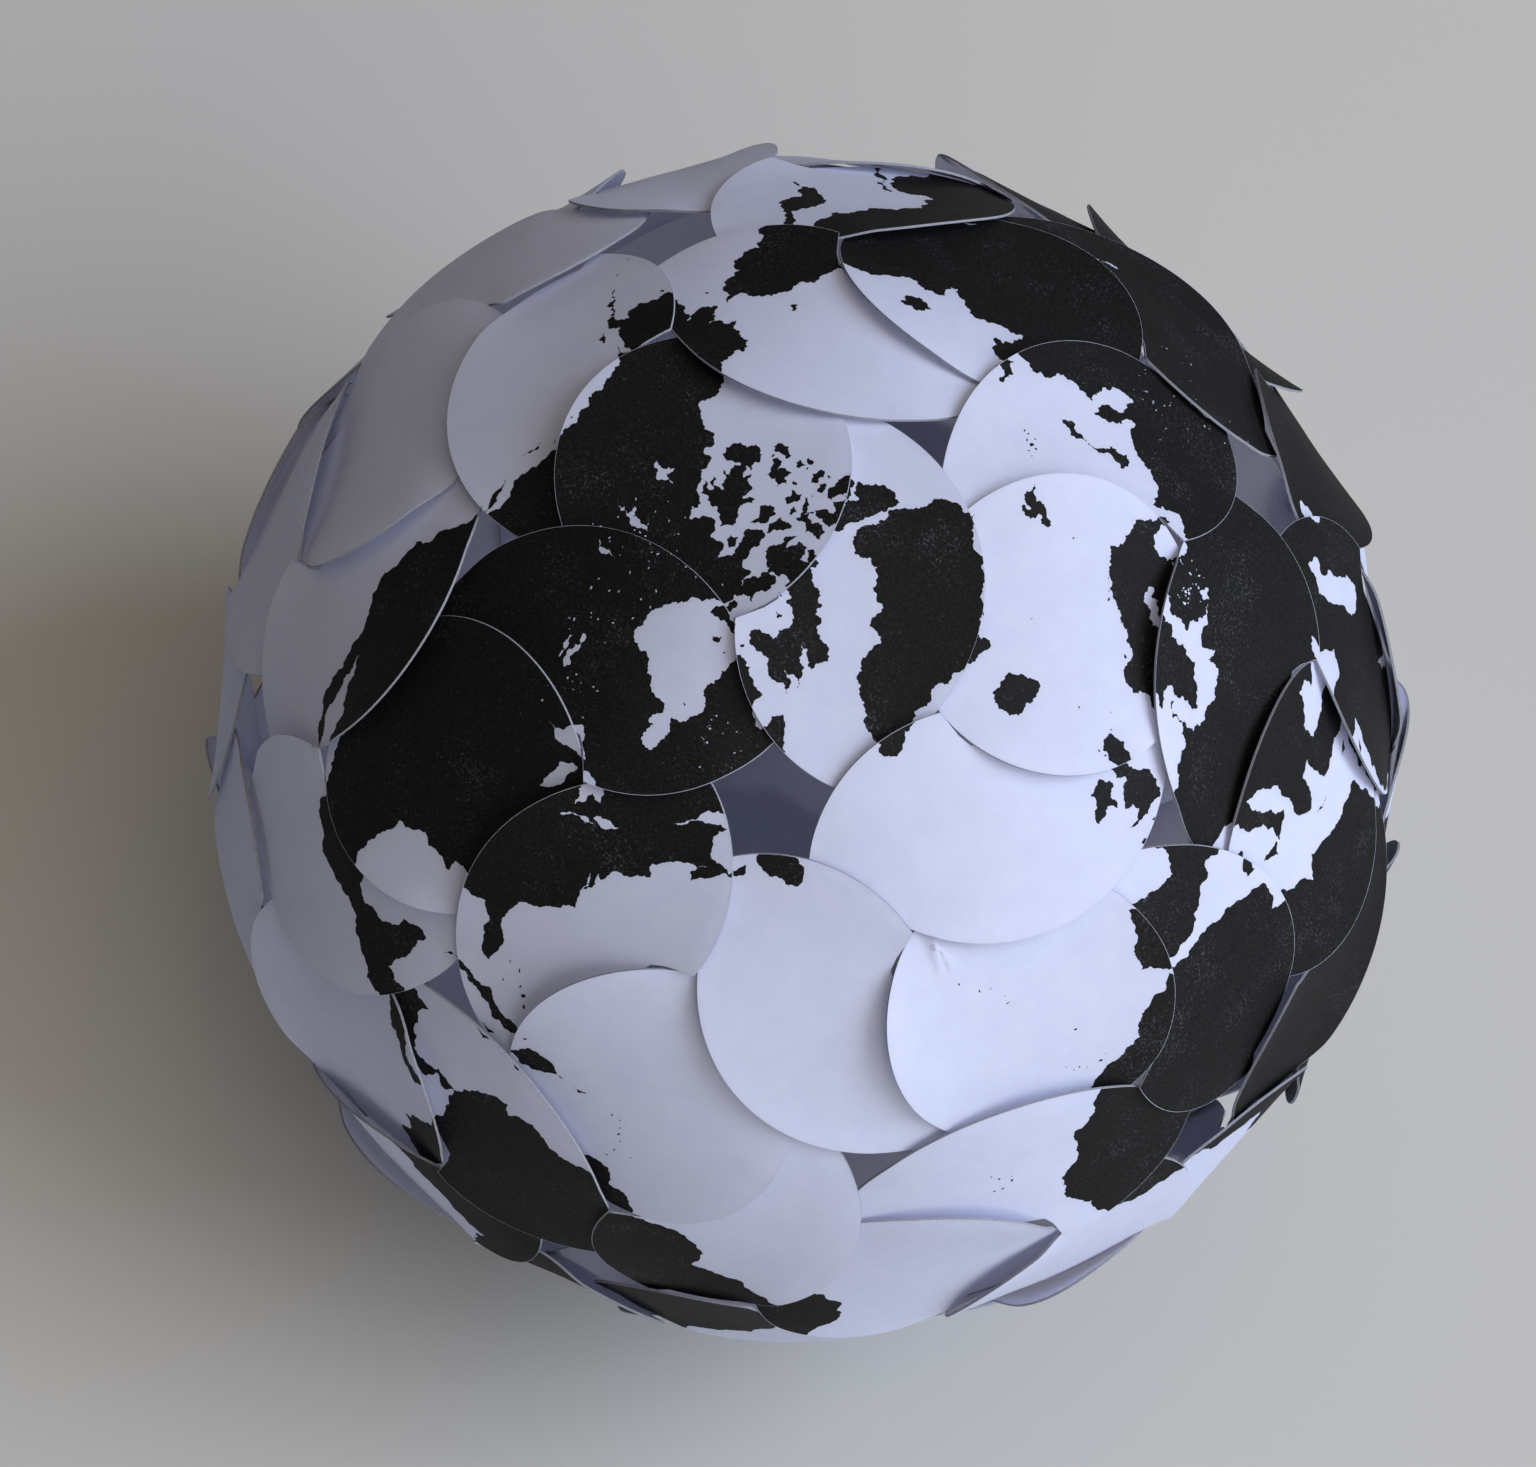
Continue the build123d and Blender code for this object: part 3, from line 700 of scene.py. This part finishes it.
def coveredSpots(number):  # the points of a sheet, on its flat plan, that lie under another sheet
    turns = leafTurns()
    own, ownTurn = sheetsOf(turns[0])[number]
    points = facePoints(own["outline"], standing["spotStep"])
    places = np.column_stack([points, heightOn(own, points, 0)])
    reach = np.linalg.norm(places, axis=1)
    rays = places @ ownTurn.T / reach[:, None]
    covered = np.zeros(len(points), bool)
    for i, turn in enumerate(turns):
        for k, (cut, sheetTurn) in enumerate(sheetsOf(turn)):
            local = rays @ sheetTurn
            near = local[:, 2] > upLimit["sheetNear"]
            if (i, k) == (0, number) or not near.any():
                continue
            flat = printedAt(cut, local[near])
            over = np.linalg.norm(np.column_stack([flat, heightOn(cut, flat, 0)]), axis=1) > reach[near]
            covered[near] |= over & inside(flat, cut["outline"])
    return points[covered]


bodyCut["covered"], lobeCut["covered"] = coveredSpots(0), coveredSpots(1)


def nearest(points, spots):
    apart = points[:, None, :] - spots[None, :, :]
    return np.sqrt((apart ** 2).sum(axis=2).min(axis=1))


def creaseOn(key, flat):  # height of a sheet's creases, highest at their start
    height = np.zeros(len(flat))
    for x0, y0, x1, y1 in creases.get(key, ()):
        start, run = np.array([x0, y0]), np.array([x1 - x0, y1 - y0])
        share = np.clip((flat - start) @ run / (run @ run), 0, 1)
        off = np.linalg.norm(flat - start - share[:, None] * run, axis=1)
        height = np.maximum(height, np.clip(1 - off / creaseLook["half"], 0, 1) * (1 - share))
    return height * creaseLook["height"]


def creasePoints(key):  # points on each crease and on both sides of it, so that the mesh can follow it
    points = []
    for x0, y0, x1, y1 in creases.get(key, ()):
        start, run = np.array([x0, y0]), np.array([x1 - x0, y1 - y0])
        across = np.array([-run[1], run[0]]) / np.linalg.norm(run) * creaseLook["half"]
        count = int(np.linalg.norm(run) / creaseLook["step"])
        points += [start + run * i / count + across * side for i in range(count + 1) for side in (-1, 0, 1)]
    return np.array(points).reshape(-1, 2)


def standingUp(key, cut, flat):  # how far each point of a sheet stands up, most along its free edges
    draw = np.random.default_rng(standing["seed"] + key[0] * 10 + key[1])
    free = np.clip((nearest(flat, cut["covered"]) - standing["hold"]) / standing["fade"], 0, 1)
    close = np.clip(1 - nearest(flat, cut["outline"]) / standing["width"], 0, 1)
    turn, shift = draw.uniform(0, 2 * math.pi, 2)
    along = flat @ np.array([math.cos(turn), math.sin(turn)])
    wave = 0.6 + 0.4 * np.sin(2 * math.pi * along / standing["wave"] + shift)
    most = standing["most"] * draw.uniform(0.15, 1) * wave
    return most * free ** 2 * (3 - 2 * free) * close ** 2 + creaseOn(key, flat)


def addLeaf(name, node, turn, number):
    places, faces, kinds = [], [], []
    for i, (cut, sheetTurn) in enumerate(sheetsOf(turn)):
        flat, tris, ink = sheetMesh((number, i), cut, sheetTurn)
        lift = standingUp((number, i), cut, flat)
        count = sum(len(p) for p in places)
        for side in (1, -1):
            height = heightOn(cut, flat, side) + lift
            places.append(np.column_stack([flat, height]) @ sheetTurn.T * mm)
        n = len(flat)
        a, b, c = flat[tris[:, 0]], flat[tris[:, 1]], flat[tris[:, 2]]
        ccw = ((b[:, 0] - a[:, 0]) * (c[:, 1] - a[:, 1]) - (b[:, 1] - a[:, 1]) * (c[:, 0] - a[:, 0])) > 0
        tris = np.where(ccw[:, None], tris, tris[:, ::-1])
        faces += [tuple(t) for t in tris + count]
        kinds += [tonerFace if black else cardFace for black in ink]
        faces += [tuple(t) for t in tris[:, ::-1] + count + n]
        kinds += [cardFace] * len(tris)
        runs = np.concatenate([tris[:, [0, 1]], tris[:, [1, 2]], tris[:, [2, 0]]])
        both = {tuple(r) for r in runs}
        rimRuns = [r for r in both if (r[1], r[0]) not in both]
        faces += [(p + count, p + n + count, q + n + count, q + count) for p, q in sorted(rimRuns)]
        kinds += [edgeFace] * len(rimRuns)
    places = np.concatenate(places)
    mesh = bpy.data.meshes.new(name)
    mesh.from_pydata(places.tolist(), [], [[int(i) for i in face] for face in faces])
    for material in leafMaterials:
        mesh.materials.append(material)
    mesh.polygons.foreach_set("material_index", kinds)
    mesh.polygons.foreach_set("use_smooth", [True] * len(kinds))
    work = bmesh.new()
    work.from_mesh(mesh)
    loose = [v for v in work.verts if not v.link_faces]
    bmesh.ops.delete(work, geom=loose, context="VERTS")
    for edge in work.edges:
        walls = [face.material_index == edgeFace for face in edge.link_faces]
        edge.smooth = all(walls) or not any(walls)
    work.to_mesh(mesh)
    work.free()
    piece = bpy.data.objects.new(name, mesh)
    bpy.context.scene.collection.objects.link(piece)
    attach(piece, "root")
    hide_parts(node)
    return piece


nodeOut = {}
for node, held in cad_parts.items():
    middle = np.array([v.co for v in held.data.vertices]).mean(axis=0)
    nodeOut[node] = middle / np.linalg.norm(middle)
triangles = 0
for turn in leafTurns():
    node = max(nodeOut, key=lambda name: float(nodeOut[name] @ turn[:, 2]))
    number = int(node.split("_")[1])
    piece = addLeaf(f"paperLeaf_{number:02d}", node, turn, number)
    triangles += sum(len(p.vertices) - 2 for p in piece.data.polygons)
print("leaves woven,", triangles, "triangles")

# a plain pale table top under the ball, matt
floorLook = {"height": -50.0, "reach": 3000.0, "colour": "b5b5b4"}
floorMaterial, floorTree = newMaterial("paleTableTop")
floorShader = addNode(floorTree, "ShaderNodeBsdfPrincipled", {
    "Base Color": linear(floorLook["colour"]), "Roughness": 0.9})
addNode(floorTree, "ShaderNodeOutputMaterial", {}, {"Surface": floorShader.outputs["BSDF"]})
floorMesh = bpy.data.meshes.new("tableTop")
half = floorLook["reach"] / 2 * mm
floorHeight = floorLook["height"] * mm
floorMesh.from_pydata([(-half, -half, floorHeight), (half, -half, floorHeight), (half, half, floorHeight),
                       (-half, half, floorHeight)], [], [(0, 1, 2, 3)])
floorMesh.materials.append(floorMaterial)
floor = bpy.data.objects.new("tableTop", floorMesh)
bpy.context.scene.collection.objects.link(floor)

# the camera where the photograph was taken from, on the ball's own axes
viewFrom = {
    "right": (0.62452, 0.75793, 0.18845), "up": (-0.73198, 0.48388, 0.47965),
    "towards": (0.27236, -0.43749, 0.85698),
    "distance": 452.9, "aimRight": -3.24, "aimUp": 0.80, "lens": 125.46, "sensor": 36.0,
}
viewRight, viewUp, viewTowards = (Vector(viewFrom[name]) for name in ("right", "up", "towards"))
cameraData = bpy.data.cameras.new("camera")
cameraData.lens = viewFrom["lens"]
cameraData.sensor_width = viewFrom["sensor"]
cameraData.clip_start = 0.01
camera = bpy.data.objects.new("camera", cameraData)
bpy.context.scene.collection.objects.link(camera)
cameraAim = viewRight * viewFrom["aimRight"] + viewUp * viewFrom["aimUp"]
cameraPlace = (viewTowards * viewFrom["distance"] + cameraAim) * mm
cameraAxes = Matrix((viewRight, viewUp, viewTowards)).transposed()
camera.matrix_world = Matrix.Translation(cameraPlace) @ cameraAxes.to_4x4()
bpy.context.scene.camera = camera

# a large window to the right, its light back from a pale wall below, and a warm room above the camera
lamps = {
    "window": {
        "right": 1968.0, "up": 336.0, "towards": 1320.0,
        "size": 2000.0, "watts": 62.0, "colour": "e5efff"},
    "paleWall": {
        "right": 1200.0, "up": -1420.0, "towards": 1520.0,
        "size": 2600.0, "watts": 36.0, "colour": "fffcf4"},
    "warmRoom": {
        "right": 500.0, "up": 1200.0, "towards": 2000.0,
        "size": 2600.0, "watts": 22.0, "colour": "ffeed8"},
}
roomLight = {"strength": 0.02, "colour": "fff0dd"}


def addLamp(name, look):
    data = bpy.data.lights.new(name, "AREA")
    data.shape = "DISK"
    data.size = look["size"] * mm
    data.energy = look["watts"]
    data.color = linear(look["colour"])[:3]
    lamp = bpy.data.objects.new(name, data)
    bpy.context.scene.collection.objects.link(lamp)
    place = (viewRight * look["right"] + viewUp * look["up"] + viewTowards * look["towards"]) * mm
    lamp.matrix_world = Matrix.Translation(place) @ (-place).to_track_quat("-Z", "Y").to_matrix().to_4x4()


for name, look in lamps.items():
    addLamp(name, look)
world = bpy.data.worlds.new("room")
bpy.context.scene.world = world
world.use_nodes = True
world.node_tree.nodes.clear()
roomShader = addNode(world.node_tree, "ShaderNodeBackground", {
    "Color": linear(roomLight["colour"]), "Strength": roomLight["strength"]})
addNode(world.node_tree, "ShaderNodeOutputWorld", {}, {"Surface": roomShader.outputs["Background"]})
bpy.context.scene.view_settings.view_transform = "Standard"
print("table, camera and light set")
